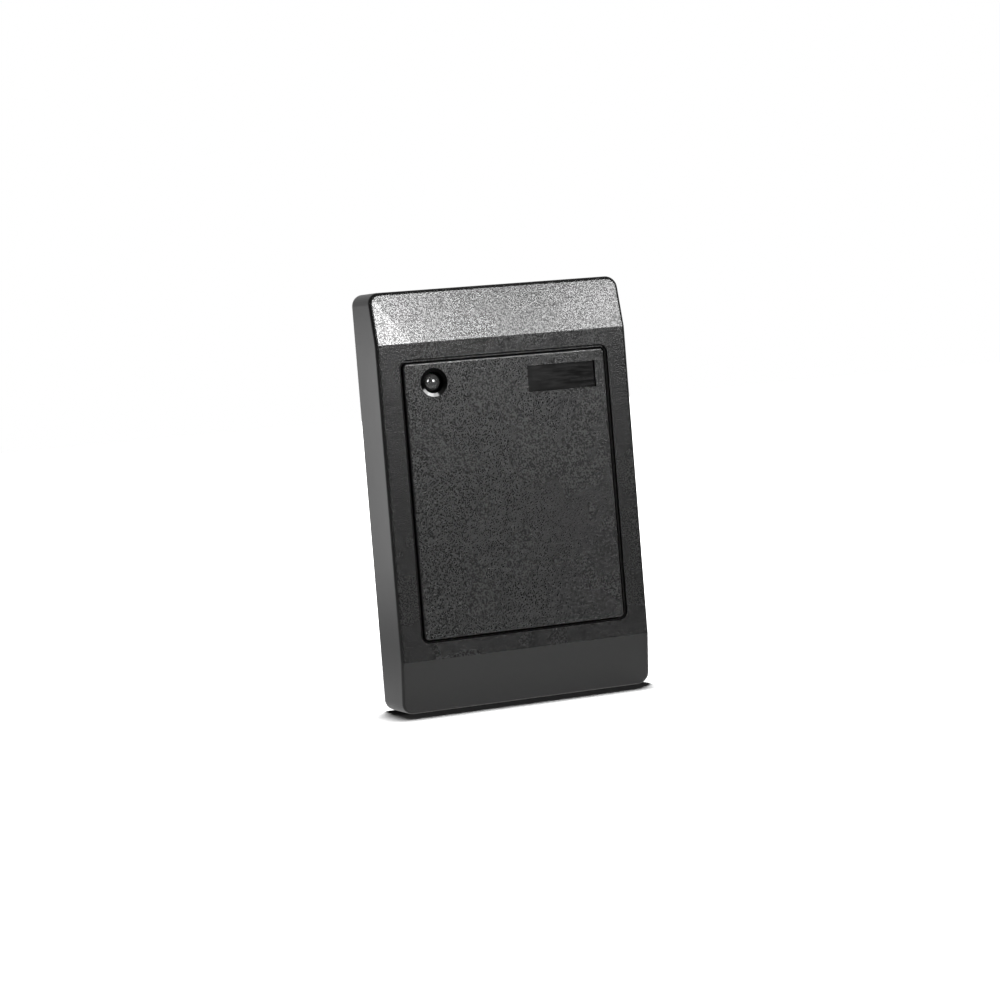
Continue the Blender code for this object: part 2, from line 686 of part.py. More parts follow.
def cross_slot(x, z, reach, back):
    """A cross-shaped cutter for a screw's head."""
    blade = reach * SLOT_BLADE
    outline = []
    for quarter in range(4):
        turn = Matrix.Rotation(math.radians(-90 * quarter), 2)
        for corner in ((blade, blade), (reach, blade), (reach, -blade)):
            outline.append(Vector((x, z)) + turn @ Vector(corner))
    slot = bmesh.new()
    add_outline(slot, [(point.x, at_depth(back - SLOT_DEPTH), point.y) for point in outline],
                (0.0, SLOT_DEPTH + OVERLAP, 0.0))
    return slot


def make_screw(name, place, head_radius, head_span, neck_radius, shank_radius):
    """A screw driven from the back, with a cross slot. Its thread is drawn as a plain shank."""
    neck, back = head_span
    head = bmesh.new()
    shank = bmesh.new()
    add_drum(head, *place, neck_radius, head_span, head_radius, SCREW_SIDES)
    add_drum(shank, *place, shank_radius, (SCREW_TIP, neck + FIT_GAP), sides=SMALL_SIDES)
    screw = new_part(name, head, ZINC_STEEL)
    join(screw, f"{name}_shank", shank)
    cut(screw, f"{name}_slot", cross_slot(*place, head_radius * SLOT_REACH, back))


def make_case_screws():
    for name, place in numbered("case_screw", four_corners(CASE_SCREW_X, CASE_SCREW_Z)):
        make_screw(name, place, CASE_HEAD_RADIUS, CASE_HEAD_DEPTHS, CASE_NECK_RADIUS,
                   CASE_SHANK_RADIUS)


def make_board_screws():
    span = (BOARD_BACK + CHIP_GAP, BOARD_BACK + CHIP_GAP + BOARD_HEAD_HEIGHT)
    for name, place in numbered("board_screw", four_corners(BOARD_SCREW_X, BOARD_SCREW_Z)):
        make_screw(name, place, BOARD_HEAD_RADIUS, span, BOARD_HEAD_RADIUS, BOARD_SHANK_RADIUS)


def dome_profile(radius, tip, steps):
    """Points down a dome, from its tip on the axis to its equator."""
    points = []
    for step in range(steps + 1):
        angle = math.radians(90 * step / steps)
        points.append((radius * math.sin(angle), tip + radius * (1 - math.cos(angle))))
    return points


def led_spots():
    return [(LED_X + step * LED_LEG_PITCH, LED_Z) for step in (-1, 0, 1)]


def soldered_pins(spots, front):
    """Square pins from a depth through the board, and the solder that ends each one."""
    pins = bmesh.new()
    solder = bmesh.new()
    for x, z in spots:
        add_block(pins, around(x, PIN_HALF), (front, BOARD_BACK + PIN_END), around(z, PIN_HALF))
        add_drum(solder, x, z, SOLDER_RADII[0], (BOARD_BACK + CHIP_GAP, BOARD_BACK + SOLDER_HEIGHT),
                 SOLDER_RADII[1], TINY_SIDES)
    return pins, solder


def solder_in(piece, spots, front):
    """Give a piece pins that go through the board to their solder joints."""
    pins, solder = soldered_pins(spots, front)
    join(piece, f"{piece.name}_pins", pins)
    join(piece, f"{piece.name}_solder", solder)


def make_status_light():
    base = LED_TIP + LED_LENGTH
    profile = dome_profile(LED_RADIUS, LED_TIP, LED_DOME_STEPS)
    profile += [(LED_RADIUS, base - LED_FLANGE), (LED_FLANGE_RADIUS, base - LED_FLANGE),
                (LED_FLANGE_RADIUS, base), (0.0, base)]
    turned_part("status_light_lens", LAMP_EPOXY, (LED_X, LED_Z), profile)
    for name, spot in numbered("status_light_leg", led_spots()):
        pins, solder = soldered_pins([spot], base + CHIP_GAP)
        join(new_part(name, pins, TINNED_METAL), f"{name}_solder", solder)
    form = bmesh.new()
    add_drum(form, LED_X, LED_Z, LED_SPACER_RADIUS, (base + CHIP_GAP, BOARD_FRONT - CHIP_GAP))
    spacer = new_part("status_light_spacer", form, NATURAL_NYLON)
    holes = bmesh.new()
    for x, z in led_spots():
        add_drum(holes, x, z, LED_SPACER_BORE, (base - OVERLAP, DEPTH), sides=TINY_SIDES)
    cut(spacer, "spacer_holes", holes)


def header_spots():
    x, z = HEADER_PLACE
    middle = (HEADER_PINS - 1) / 2
    return [(x + (pin - middle) * HEADER_PITCH, z) for pin in range(HEADER_PINS)]


def pair_spots(place, pitch):
    """Two points, a pitch apart along X, about a place."""
    return [(place[0] + side * pitch / 2, place[1]) for side in (-1, 1)]


def through_spots():
    """(x, z) of every lead that passes through the board."""
    return (led_spots() + header_spots() + pair_spots(BUZZER_PLACE, BUZZER_PITCH)
            + pair_spots(CRYSTAL_PLACE, CRYSTAL_PITCH))


def make_circuit_board():
    form = bmesh.new()
    add_block(form, both(BOARD_X), (BOARD_FRONT, BOARD_BACK), both(BOARD_Z), BOARD_CORNER)
    board = new_part("circuit_board", form, BOARD_GREEN)
    holes = bmesh.new()
    through = (BOARD_FRONT - OVERLAP, BOARD_BACK + OVERLAP)
    for x, z in four_corners(BOARD_SCREW_X, BOARD_SCREW_Z):
        add_drum(holes, x, z, BOARD_SCREW_HOLE, through, sides=SMALL_SIDES)
    for z in both(WALL_SCREW_Z):
        add_drum(holes, 0.0, z, WALL_BORE_RADIUS + PILLAR_WALL + BOARD_PILLAR_GAP, through)
    for x, z in through_spots():
        add_drum(holes, x, z, LEAD_HOLE, through, sides=LEAD_HOLE_SIDES)
    add_block(holes, both(BOARD_NOTCH_X), through, (-BOARD_Z - OVERLAP, BOARD_NOTCH_Z))
    cut(board, "board_holes", holes)


def make_antenna():
    """The coil that reads a card, and the two wires that join it to the board."""
    form = bmesh.new()
    outer_x = COIL_INNER_X + COIL_WIDTH
    outer_z = COIL_INNER_Z + COIL_WIDTH
    add_block(form, both(outer_x), COIL_DEPTHS, both(outer_z), COIL_CORNER)
    coil = new_part("antenna_coil", form, ENAMELLED_COPPER)
    window = bmesh.new()
    add_block(window, both(COIL_INNER_X), (FAR_FRONT, FAR_BACK), both(COIL_INNER_Z),
              COIL_WINDOW_CORNER)
    cut(coil, "coil_window", window)
    start = COIL_INNER_X - COIL_LEAD_RADIUS - CHIP_GAP
    drop = BOARD_FRONT - CHIP_GAP - COIL_LEAD_DEPTH
    for name, z in numbered("antenna_lead", PAD_Z):
        route = []
        for step in range(COIL_LEAD_STEPS + 1):
            turn = math.radians(90 * step / COIL_LEAD_STEPS)
            x = start + (PAD_X - start) * math.sin(turn)
            route.append((x, at_depth(COIL_LEAD_DEPTH + drop * (1 - math.cos(turn))), z))
        wire_part(name, ENAMELLED_COPPER, route, COIL_LEAD_RADIUS)


def add_component(form, place, body, standoff=CHIP_GAP):
    """A box of (x, z, height) sizes standing on the front of the board."""
    back = BOARD_FRONT - standoff
    add_block(form, around(place[0], body[0] / 2), (back - body[2], back),
              around(place[1], body[1] / 2))


def leg_outline(body, side):
    """The bent shape of a leg, as (x, depth) from inside the body out to its foot."""
    start = body[0] / 2 - LEG_ROOT
    bend = body[0] / 2 + LEG_REACH
    foot = bend + LEG_REACH
    back = BOARD_FRONT - CHIP_GAP
    shoulder = back - body[2] / 2
    outline = [(start, shoulder - LEG_THICKNESS), (bend, shoulder - LEG_THICKNESS),
               (bend, back - LEG_THICKNESS), (foot, back - LEG_THICKNESS), (foot, back),
               (bend - LEG_THICKNESS, back), (bend - LEG_THICKNESS, shoulder), (start, shoulder)]
    return [(side * x, depth) for x, depth in outline]


def add_legs(form, place, body, side, offsets, width):
    """Bent legs along one side of a body, at each offset along Z."""
    outline = [(place[0] + x, depth) for x, depth in leg_outline(body, side)]
    for offset in offsets:
        add_strip(form, outline, around(place[1] + offset, width / 2))


def row_offsets(count, pitch):
    return [(number - (count - 1) / 2) * pitch for number in range(count)]


def make_package(name, place, body, legs):
    """An epoxy body with bent legs, each set given as (side, offsets, width)."""
    form = bmesh.new()
    add_component(form, place, body, CHIP_STANDOFF)
    bmesh.ops.bevel(form, geom=list(form.edges), offset=CHIP_EDGE, segments=1, affect="EDGES")
    package = new_part(name, form, CHIP_EPOXY, smooth=False)
    feet = bmesh.new()
    for side, offsets, width in legs:
        add_legs(feet, place, body, side, offsets, width)
    join(package, f"{name}_legs", feet)
    return package


def make_chip(name, place, body, legs_a_side):
    """A chip with a row of legs on each long side and a dot by its first leg."""
    offsets = row_offsets(legs_a_side, CHIP_PITCH)
    chip = make_package(name, place, body, [(side, offsets, CHIP_LEG_WIDTH) for side in (-1, 1)])
    dot = bmesh.new()
    face = BOARD_FRONT - CHIP_STANDOFF - body[2]
    add_drum(dot, place[0] - body[0] / 2 + DOT_INSET, place[1] + body[1] / 2 - DOT_INSET,
             DOT_RADIUS, (face - OVERLAP, face + DOT_DEPTH), sides=TINY_SIDES)
    cut(chip, f"{name}_dot", dot)


def make_packages():
    """The chips, the regulator and the transistors."""
    make_chip("microcontroller", MICRO_PLACE, MICRO_BODY, MICRO_LEGS)
    make_chip("reader_chip", READER_PLACE, READER_BODY, READER_LEGS)
    make_package("voltage_regulator", REGULATOR_PLACE, REGULATOR_BODY,
                 [(-1, row_offsets(3, REGULATOR_PITCH), REGULATOR_LEG_WIDTHS[0]),
                  (1, [0.0], REGULATOR_LEG_WIDTHS[1])])
    for name, place in numbered("driver_transistor", TRANSISTOR_PLACES):
        make_package(name, place, TRANSISTOR_BODY,
                     [(-1, row_offsets(2, TRANSISTOR_PITCH), TRANSISTOR_LEG_WIDTH),
                      (1, [0.0], TRANSISTOR_LEG_WIDTH)])


def make_crystal():
    form = bmesh.new()
    x, z = CRYSTAL_PLACE
    length, width, height = CRYSTAL_BODY
    back = BOARD_FRONT - CHIP_GAP
    add_block(form, around(x, length / 2), (back - height, back), around(z, width / 2),
              width / 2 - CHIP_GAP)
    solder_in(new_part("crystal", form, TINNED_METAL),
              pair_spots(CRYSTAL_PLACE, CRYSTAL_PITCH), back - OVERLAP)


def make_buzzer():
    back = BOARD_FRONT - CHIP_GAP
    front = back - BUZZER_HEIGHT
    profile = [(0.0, front + BUZZER_HOLE_DEPTH), (BUZZER_HOLE, front + BUZZER_HOLE_DEPTH),
               (BUZZER_HOLE, front), (BUZZER_RADIUS - BUZZER_EDGE, front),
               (BUZZER_RADIUS, front + BUZZER_EDGE), (BUZZER_RADIUS, back), (0.0, back)]
    buzzer = turned_part("buzzer", GLOSS_BLACK, BUZZER_PLACE, profile)
    solder_in(buzzer, pair_spots(BUZZER_PLACE, BUZZER_PITCH), back - OVERLAP)


def make_electrolytics():
    """Two electrolytic capacitors: an aluminium can, necked in above a square base."""
    back = BOARD_FRONT - CHIP_GAP
    rim = back - ELECTROLYTIC_BASE
    for name, (x, z) in numbered("electrolytic_capacitor", ELECTROLYTIC_PLACES):
        can = bmesh.new()
        add_drum(can, x, z, ELECTROLYTIC_RADIUS,
                 (rim - ELECTROLYTIC_HEIGHT, rim - ELECTROLYTIC_NECK), sides=CAN_SIDES)
        base = bmesh.new()
        add_block(base, around(x, ELECTROLYTIC_RADIUS), (rim, back),
                  around(z, ELECTROLYTIC_RADIUS))
        neck = bmesh.new()
        add_drum(neck, x, z, ELECTROLYTIC_RADIUS - ELECTROLYTIC_NECK,
                 (rim - OVERLAP, rim + ELECTROLYTIC_NECK), sides=CAN_SIDES)
        capacitor = new_part(name, can, ALUMINIUM)
        join(capacitor, f"{name}_neck", neck)
        join(capacitor, f"{name}_base", base)


def make_small_components():
    """The tuning capacitor, the diode, and the rows of chip resistors and capacitors."""
    pieces = [("tuning_capacitor", TUNING_PLACE, TUNING_BODY, FILM_RED),
              ("protection_diode", DIODE_PLACE, DIODE_BODY, CHIP_EPOXY)]
    for name, place in numbered("chip_resistor", RESISTOR_PLACES):
        pieces.append((name, place, RESISTOR_BODY, CHIP_EPOXY))
    for name, place in numbered("chip_capacitor", CERAMIC_PLACES):
        pieces.append((name, place, CERAMIC_BODY, CERAMIC_TAN))
    for name, place, body, look in pieces:
        form = bmesh.new()
        add_component(form, place, body)
        bmesh.ops.bevel(form, geom=list(form.edges), offset=SMALL_EDGE, segments=1, affect="EDGES")
        new_part(name, form, look, smooth=False)


def make_cable_header():
    """The header that a cable's connector plugs into: an open-topped shell with its pins."""
    x, z = HEADER_PLACE
    length, width, height = HEADER_BODY
    back = BOARD_FRONT - CHIP_GAP
    form = bmesh.new()
    add_component(form, HEADER_PLACE, HEADER_BODY)
    header = new_part("cable_header", form, NATURAL_NYLON, smooth=False)
    well = bmesh.new()
    add_block(well, around(x, length / 2 - HEADER_WALL), (FAR_FRONT, back - HEADER_FLOOR),
              around(z, width / 2 - HEADER_WALL))
    cut(header, "header_well", well)
    solder_in(header, header_spots(), back - height + OVERLAP)


def hang_on(empty, names):
    """Parent pieces to an empty without moving them."""
    for name in names:
        piece = parts.objects[name]
        piece.parent = empty
        piece.location -= empty.location


def main():
    clear_scene()
    make_front_shell()
    make_front_panel()
    make_nameplate()
    make_rear_cover()
    make_rear_seal()
    make_cable_grommet()
    make_case_screws()
    make_board_screws()
    make_status_light()
    make_circuit_board()
    make_antenna()
    make_packages()
    make_crystal()
    make_buzzer()
    make_electrolytics()
    make_small_components()
    make_cable_header()
    hang_on(new_empty("panel_slide", PANEL_ORIGIN), ["front_panel", "nameplate"])


parts = new_collection("card_reader")
cutters = new_collection("card_reader_cutters")
main()
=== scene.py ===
import math

import bpy
from mathutils import Matrix, Vector


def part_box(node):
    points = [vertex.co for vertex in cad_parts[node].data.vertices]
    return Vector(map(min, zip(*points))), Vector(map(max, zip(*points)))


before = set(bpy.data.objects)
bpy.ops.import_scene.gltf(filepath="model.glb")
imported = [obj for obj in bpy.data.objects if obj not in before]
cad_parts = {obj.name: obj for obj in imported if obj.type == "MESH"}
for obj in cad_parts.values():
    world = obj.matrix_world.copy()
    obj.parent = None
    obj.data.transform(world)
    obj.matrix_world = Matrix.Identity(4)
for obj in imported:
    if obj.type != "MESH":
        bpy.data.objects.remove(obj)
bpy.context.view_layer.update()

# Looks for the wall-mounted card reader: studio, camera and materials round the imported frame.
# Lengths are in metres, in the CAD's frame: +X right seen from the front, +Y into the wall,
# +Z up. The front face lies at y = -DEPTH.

MM = 0.001
WHITE = (1.0, 1.0, 1.0)

# The case and its board, as the CAD has them
DEPTH = 16.5 * MM
HALF_HEIGHT = 58.0 * MM
BOTTOM_BEND_Z = -43.5 * MM
BEND_BLUR = 0.2 * MM
BOARD_FRONT_Y = 11.4 * MM - DEPTH
BARE_METAL_Y = BOARD_FRONT_Y - 0.05 * MM

# Camera
CAMERA_TARGET = Vector((-4.84, -16.5, -1.6)) * MM
CAMERA_DISTANCE = 780.0 * MM
CAMERA_YAW = math.radians(22.41)
CAMERA_PITCH = math.radians(3.28)
CAMERA_ROLL = math.radians(-4.63)
CAMERA_LENS = 101.4
SENSOR_WIDTH = 36.0

# Soft lights: place and target in mm, size in mm, watts, and the nodes it reaches if not all.
# The two windows give the lamp its highlights, the three rims light its mouth's lower side.
LIGHTS = {
    "key": ((262, -821, 359), (0, -16, 45), (300, 100), 3.4, ()),
    "front_soft": ((380, -815, 240), (0, -16, 0), (700, 400), 1.3, ()),
    "left_end": ((29, -234, 155), (-37, -17, 50), (50, 50), 0.2, ("front_shell",)),
    "right_end": ((89, -112, 99), (34, -17, 50), (25, 25), 0.03, ("front_shell",)),
    "left_back": ((-190, 260, 0), (-37, -8, 0), (90, 110), 0.06, ()),
    "left_window": ((-510, -280, 300), (-21, -16, 32), (270, 330), 4.2, ("status_light_lens",)),
    "right_window": ((104, -371, 176), (-21, -16, 32), (145, 200), 1.4, ("status_light_lens",)),
    "rim_left": ((249, -105, 179), (-21, -16, 32), (110, 110), 0.22, ("front_panel",)),
    "rim_middle": ((172, -148, 250), (-21, -16, 32), (110, 110), 0.35, ("front_panel",)),
    "rim_right": ((62, -195, 285), (-21, -16, 32), (110, 110), 0.22, ("front_panel",)),
}
# The light that gives the shadow on the floor: a far one, high up and a little behind
FLOOR_LIGHT_FROM = (6.0, 12.0, 116.0)
FLOOR_LIGHT_SPREAD = math.radians(5)
FLOOR_LIGHT_STRENGTH = 90.0

# The backdrop's light on the reader from the front and from behind, and where one turns into
# the other (by the direction's Y)
WORLD_FRONT = 0.1
WORLD_BEHIND = 0.5
WORLD_TURN = (0.1, 0.9)

# The floor, as the camera sees it and as the reader does. Its glow changes with the distance.
FLOOR_HALF = 3.0
FLOOR_ROUGHNESS = 0.9
FLOOR_COLOUR = (0.05, 0.05, 0.05)
FLOOR_COLOUR_UNSEEN = (0.004, 0.004, 0.004)
FLOOR_GLOW_SPAN = (0.07, 0.3)
FLOOR_GLOW_NEAR = 0.0
FLOOR_GLOW_FAR = 1.1
UNSEEN_GLOW_SPAN = (0.07, 0.2)
UNSEEN_GLOW_NEAR = 0.6
UNSEEN_GLOW_FAR = 0.22

# The groove between the panel and the case is smooth inside. Its reflection is painted weak as shade,
# so that it reads dark, except on a thin strip of ledge along its top
GROOVE_X = 33.0 * MM
GROOVE_TOP_Z = 41.0 * MM
GROOVE_BOTTOM_Z = -41.0 * MM
GROOVE_Y = 0.5 * MM - DEPTH
GROOVE_SHADE_SHEEN = 0.04
LEDGE_SPAN_Z = (38.42 * MM, 38.8 * MM)
LEDGE_Y = 0.95 * MM - DEPTH

# Case plastic: sizes of lumps, depths of bump, roughness, and how far a normal's Y may turn
# from the front before the grain stops
SHELL_COLOUR = (0.006, 0.006, 0.0059)
PANEL_COLOUR = (0.014, 0.014, 0.0138)
GRAIN_SIZE = 0.38 * MM
GRAIN_DEPTH = 0.02 * MM
GRAIN_ROUGHNESS = 0.27
PIT_SHADE = 0.5
SATIN_SIZE = 0.3 * MM
SATIN_DEPTH = 0.004 * MM
SMOOTH_ROUGHNESS = 0.30
DRIFT_SIZE = 14.0 * MM
DRIFT_ROUGHNESS = 0.08
# Sheen of the front, and a stronger sheen painted on the smooth lower slope to make it lighter
FRONT_SHEEN = 0.5
LOWER_SLOPE_PAINTED_SHEEN = 0.7
FRONT_FACING = (-0.93, -0.80)

# Status light and its polished mouth. The mouth's colour is painted near-black as shade, and
# its reflection is painted strong on its lower side only, as a glint, and weak above
LED_X = -21.5 * MM
LED_Z = 32.4 * MM
LED_RADIUS = 2.5 * MM
LED_MOUTH_RADIUS = 3.97 * MM
LAMP_CORE = (0.02, 0.02, 0.02)
LAMP_RIM = (0.032, 0.032, 0.0315)
LAMP_ROUGHNESS = 0.06
LAMP_SHEEN = 1.0
LAMP_CORE_SPAN = (0.2 * LED_RADIUS, 0.8 * LED_RADIUS)
MOUTH_PAINTED_SHADE = (0.001, 0.001, 0.001)
MOUTH_ROUGHNESS = 0.12
MOUTH_SHEEN = 1.0
MOUTH_PAINTED_DULL_ABOVE = 0.05
MOUTH_PAINTED_GLINT_SPAN_Z = (LED_Z - 2.4 * MM, LED_Z - 1.0 * MM)

# Nameplate: clear film, and a painted reflection on it, which fades over this share of its width
FILM_BLACK = (0.003, 0.003, 0.003)
FILM_PAINTED_REFLECTION = (0.03, 0.03, 0.03)
FILM_REFLECTION_FADE = 0.8
STREAK_SIZE = 0.5 * MM
STREAK_SQUEEZE = (0.12, 1.0, 1.0)

# Metals: bright and dull colour, lowest and highest roughness, size of the dull patches
ZINC_STEEL = ((0.62, 0.63, 0.66), (0.42, 0.43, 0.46), 0.24, 0.42, 0.9 * MM)
TINNED_METAL = ((0.74, 0.73, 0.70), (0.55, 0.54, 0.50), 0.2, 0.4, 0.6 * MM)
COPPER = ((0.60, 0.20, 0.06), (0.34, 0.09, 0.03), 0.22, 0.34, 0.7 * MM)
ALUMINIUM = ((0.82, 0.82, 0.83), (0.70, 0.70, 0.72), 0.2, 0.34, 1.5 * MM)

# Plastics: colour, roughness, how much the shade varies, size of the lumps. The roughness of all
# of them varies alike.
PLASTIC_UNEVENNESS = 0.06
SPACER_NYLON = ((0.78, 0.75, 0.66), 0.42, 0.05, 1.0 * MM)
HEADER_NYLON = ((0.78, 0.75, 0.66), 0.42, 0.05, 2.0 * MM)
FILM_RED = ((0.42, 0.022, 0.014), 0.28, 0.1, 1.5 * MM)

# Rubber
RUBBER_BLACK = (0.012, 0.012, 0.012)
RUBBER_DUSTY = (0.03, 0.03, 0.028)

# Board parts
SOLDER_COLOUR = (0.72, 0.71, 0.68)
SOLDER_ROUGHNESS = 0.28
EPOXY_BLACK = (0.016, 0.016, 0.017)
EPOXY_ROUGHNESS = 0.45
EPOXY_MOTTLING = 0.12
EPOXY_LUMP = 0.8 * MM
HEADER_PITCH = 2.0 * MM
HEADER_PIN_HALF = 0.3 * MM
HEADER_WELL = (0.5 * MM, 1.4 * MM)
CAN_BASE_Y = BOARD_FRONT_Y - 1.05 * MM
CAN_BASE_COLOUR = (0.012, 0.012, 0.012)
CAN_BASE_ROUGHNESS = 0.5

# Board: solder mask, dark and over a track
MASK_DARK = (0.006, 0.10, 0.035)
MASK_TRACK = (0.012, 0.17, 0.06)
MASK_WORN = (0.010, 0.09, 0.032)
TRACK_LENGTH = 7.0 * MM
TRACK_PITCH = 1.6 * MM
TRACK_WIDTH = 0.16 * MM

# Coil: its colour is painted shaded between the turns and lit on their crowns
WIRE_PITCH = 0.3 * MM
WIRE_SHARE = 0.25
COIL_SHADED = (0.30, 0.07, 0.02)
COIL_LIT = (0.62, 0.22, 0.07)
COIL_ROUGHNESS = 0.3

# Smooth shading: up to which angle, and how close corners are joined
SMOOTH_ANGLE = math.radians(32)
PANEL_SMOOTH_ANGLE = math.radians(9.5)
WELD_GAP = 0.001 * MM

# Where a Mix node of each kind keeps its first value and its result
MIX_SOCKETS = {"FLOAT": (2, 0), "VECTOR": (4, 1), "RGBA": (6, 2)}
# The kind of Mix node that each kind of socket takes
MIX_KINDS = {"VALUE": "FLOAT", "VECTOR": "VECTOR", "RGBA": "RGBA"}
# The values between which most of a noise lies, and their middle
NOISE_SPAN = (0.3, 0.7)
NOISE_MIDDLE = 0.5


def aim(item, place, target):
    """Put an item at a place and turn its -Z axis to the target."""
    item.location = place
    item.rotation_euler = (Vector(target) - Vector(place)).to_track_quat("-Z", "Y").to_euler()


def add_camera():
    """The camera: left of the front, a little above, and rolled a little."""
    sight = Vector((math.sin(CAMERA_YAW) * math.cos(CAMERA_PITCH),
                    math.cos(CAMERA_YAW) * math.cos(CAMERA_PITCH),
                    -math.sin(CAMERA_PITCH)))
    level = Vector((math.cos(CAMERA_YAW), -math.sin(CAMERA_YAW), 0.0))
    upright = level.cross(sight)
    right = level * math.cos(CAMERA_ROLL) + upright * math.sin(CAMERA_ROLL)
    top = -level * math.sin(CAMERA_ROLL) + upright * math.cos(CAMERA_ROLL)
    lens = bpy.data.cameras.new("camera")
    lens.lens = CAMERA_LENS
    lens.sensor_width = SENSOR_WIDTH
    camera = bpy.data.objects.new("camera", lens)
    turn = Matrix((right, top, -sight)).transposed().to_4x4()
    camera.matrix_world = Matrix.Translation(CAMERA_TARGET - sight * CAMERA_DISTANCE) @ turn
    bpy.context.scene.collection.objects.link(camera)
    bpy.context.scene.camera = camera


def hang_light(lamp, place, target, reaches):
    """Put a light in the scene. If `reaches` holds any objects, it lights those only."""
    light = bpy.data.objects.new(lamp.name, lamp)
    aim(light, Vector(place) * MM, Vector(target) * MM)
    light.visible_camera = False
    bpy.context.scene.collection.objects.link(light)
    if reaches:
        lit = bpy.data.collections.new(f"lit_by_{lamp.name}")
        for item in reaches:
            lit.objects.link(item)
        light.light_linking.receiver_collection = lit


def add_soft_light(name, place, target, size, watts, reaches):
    """A rectangular light, with its place, target and size in mm."""
    lamp = bpy.data.lights.new(name, "AREA")
    lamp.shape = "RECTANGLE"
    lamp.size = size[0] * MM
    lamp.size_y = size[1] * MM
    lamp.energy = watts
    hang_light(lamp, place, target, [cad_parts[node] for node in reaches])


def add_floor_light(floor):
    """A far light that only the floor gets, for the line of shadow under the reader."""
    lamp = bpy.data.lights.new("floor_light", "SUN")
    lamp.angle = FLOOR_LIGHT_SPREAD
    lamp.energy = FLOOR_LIGHT_STRENGTH
    hang_light(lamp, FLOOR_LIGHT_FROM, (0.0, 0.0, 0.0), [floor])


class Graph:
    """A node tree with short ways to add and join nodes."""

    def __init__(self, tree):
        self.nodes = tree.nodes
        self.links = tree.links

    def put(self, value, socket):
        """Set a socket to a number or colour, or link another node's output to it."""
        if isinstance(value, bpy.types.NodeSocket):
            self.links.new(value, socket)
        elif isinstance(value, tuple) and len(socket.default_value) == 4:
            socket.default_value = (*value, 1.0)[:4]
        else:
            socket.default_value = value

    def node(self, kind, output=0, inputs=None, **settings):
        made = self.nodes.new(kind)
        for name, value in settings.items():
            setattr(made, name, value)
        for name, value in (inputs or {}).items():
            self.put(value, made.inputs[name])
        return made.outputs[output]

    def maths(self, operation, *values):
        return self.node("ShaderNodeMath", inputs=dict(enumerate(values)), operation=operation)

    def times(self, first, *others):
        """The product of all the values."""
        for value in others:
            first = self.maths("MULTIPLY", first, value)
        return first

    def rest(self, share):
        """What a share leaves: 1 less the share."""
        return self.maths("SUBTRACT", 1.0, share)

    def ramp(self, value, low, high, start=0.0, end=1.0):
        """Map a value smoothly from low..high to start..end."""
        return self.node("ShaderNodeMapRange", interpolation_type="SMOOTHSTEP",
                         inputs={"Value": value, "From Min": low, "From Max": high,
                                 "To Min": start, "To Max": end})

    def spread(self, noise, start, end):
        """Map a noise smoothly to start..end."""
        return self.ramp(noise, *NOISE_SPAN, start, end)

    def mix(self, share, first, second, kind="RGBA"):
        """Blend two numbers (FLOAT), vectors (VECTOR) or colours (RGBA)."""
        made = self.nodes.new("ShaderNodeMix")
        made.data_type = kind
        start, result = MIX_SOCKETS[kind]
        self.put(share, made.inputs[0])
        self.put(first, made.inputs[start])
        self.put(second, made.inputs[start + 1])
        return made.outputs[result]

    def scaled(self, colour, factor):
        """A colour made brighter or darker."""
        return self.node("ShaderNodeVectorMath", "Vector", {0: colour, 3: factor}, operation="SCALE")

    def where(self):
        """The surface point in the CAD's frame at rest."""
        return self.node("ShaderNodeTexCoord", "Object")

    def parts(self, vector):
        """A vector's x, y and z."""
        made = self.nodes.new("ShaderNodeSeparateXYZ")
        self.links.new(vector, made.inputs[0])
        return made.outputs

    def place(self):
        """The surface point in the CAD's frame at rest, as x, y, z."""
        return self.parts(self.where())

    def noise(self, size, detail=2.0, roughness=0.5):
        """Noise whose lumps are about `size` metres across."""
        return self.node("ShaderNodeTexNoise", "Fac",
                         {"Vector": self.where(), "Scale": 1.0 / size,
                          "Detail": detail, "Roughness": roughness})

    def bump(self, height, depth, strength=1.0, normal=None):
        """Bump from a 0..1 height that stands for `depth` metres."""
        inputs = {"Height": height, "Distance": depth, "Strength": strength}
        if normal is not None:
            inputs["Normal"] = normal
        return self.node("ShaderNodeBump", "Normal", inputs)

    def inside(self, *spans):
        """1 where the point lies inside every (output, low, high) span, else 0."""
        tests = []
        for output, low, high in spans:
            tests.append(self.maths("GREATER_THAN", output, low))
            tests.append(self.maths("LESS_THAN", output, high))
        return self.times(*tests)


class Surface(Graph):
    """A new material with its graph and its shader."""

    sockets = {"colour": "Base Color", "roughness": "Roughness", "metallic": "Metallic",
               "sheen": "Specular IOR Level", "normal": "Normal",
               "glow_colour": "Emission Color", "glow": "Emission Strength"}

    def __init__(self, name, **looks):
        self.material = bpy.data.materials.new(name)
        self.material.use_nodes = True
        super().__init__(self.material.node_tree)
        self.shader = self.nodes["Principled BSDF"]
        self.paint(**looks)

    def paint(self, **looks):
        for look, value in looks.items():
            self.put(value, self.shader.inputs[self.sockets[look]])

    def cover(self, share, **looks):
        """Change some of the looks where `share` is 1."""
        for look, value in looks.items():
            socket = self.shader.inputs[self.sockets[look]]
            before = socket.links[0].from_socket if socket.links else socket.default_value
            self.put(self.mix(share, before, value, MIX_KINDS[socket.type]), socket)


